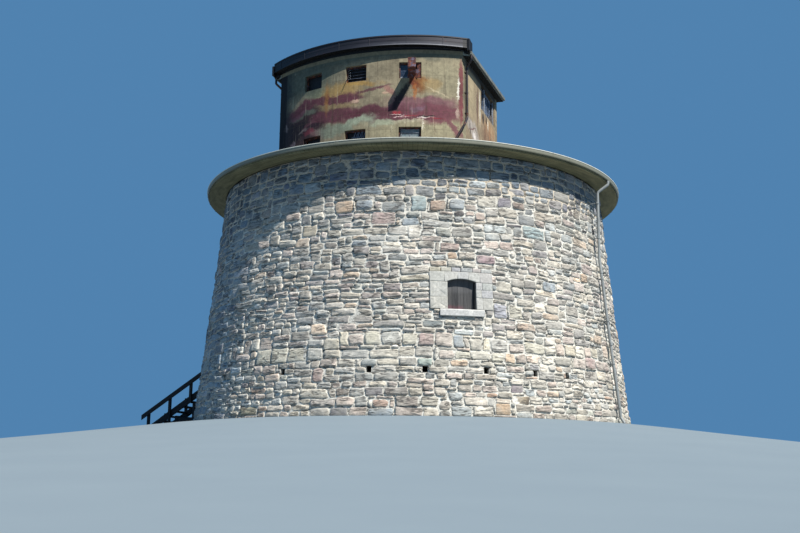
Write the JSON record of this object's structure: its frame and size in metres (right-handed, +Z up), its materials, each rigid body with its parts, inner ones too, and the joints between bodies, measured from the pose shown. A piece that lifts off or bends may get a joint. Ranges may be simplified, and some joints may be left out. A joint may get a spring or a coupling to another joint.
{
  "type": "martello tower",
  "caption": "Round battered stone gun tower with an overhanging eave, a low cone roof, and a concrete observation post on top; timber entrance stair.",
  "frame": {"origin": "on the drum's axis, at ground level", "axes": "+Z up the drum's axis, -Y towards the front with the boarded window, stair on the -X side"},
  "size_m": [17.7786, 15.24, 12.27],
  "materials": {
    "rubble_stone": "rough",
    "dressed_stone": "rough",
    "floor_stone": "rough",
    "floor_boards": "worn",
    "eave_boards": "painted",
    "gutter_paint": "satin",
    "roof_metal": "matt",
    "painted_concrete": "painted, weathered",
    "dark_trim": "satin",
    "rusted_steel": "rusted",
    "window_glass": "dusty",
    "boards": "weathered",
    "stair_timber": "painted dark"
  },
  "bodies": {
    "root": {"drum_wall_01": "rubble_stone", "drum_wall_02": "rubble_stone", "drum_wall_03": "rubble_stone", "drum_wall_04": "rubble_stone", "drum_wall_05": "rubble_stone", "drum_wall_06": "rubble_stone", "drum_wall_below_door": "rubble_stone", "drum_wall_over_door": "rubble_stone", "drum_wall_beside_door": "rubble_stone", "drum_wall_below_window": "rubble_stone", "drum_wall_over_window": "rubble_stone", "drum_wall_beside_window": "rubble_stone", "window_surround": "dressed_stone", "window_sill": "dressed_stone", "ground_floor": "floor_stone", "gun_platform": "floor_stone", "entrance_floor": "floor_boards", "eave_front": "eave_boards", "eave_back": "eave_boards", "eave_gutter": "gutter_paint", "drum_downpipe": "gutter_paint", "roof_front": "roof_metal", "roof_sides": "roof_metal", "roof_rear": "roof_metal", "post_front_wall_left": "painted_concrete", "post_front_wall_middle": "painted_concrete", "post_front_wall_right": "painted_concrete", "post_side_walls": "painted_concrete", "post_back_wall": "painted_concrete", "post_upper_floor": "painted_concrete", "post_roof_slab": "painted_concrete", "post_roof_kerb": "dark_trim", "post_side_gutters": "dark_trim", "post_downpipes": "dark_trim", "post_window_frames": "rusted_steel", "steel_beam": "rusted_steel", "post_window_plates": "rusted_steel", "post_panes": "window_glass", "window_boards": "boards", "door_frame": "boards", "door_leaf": "boards", "stair_stringers": "stair_timber", "stair_treads": "stair_timber", "stair_supports": "stair_timber", "stair_rails": "stair_timber"}
  },
  "joints": []
}
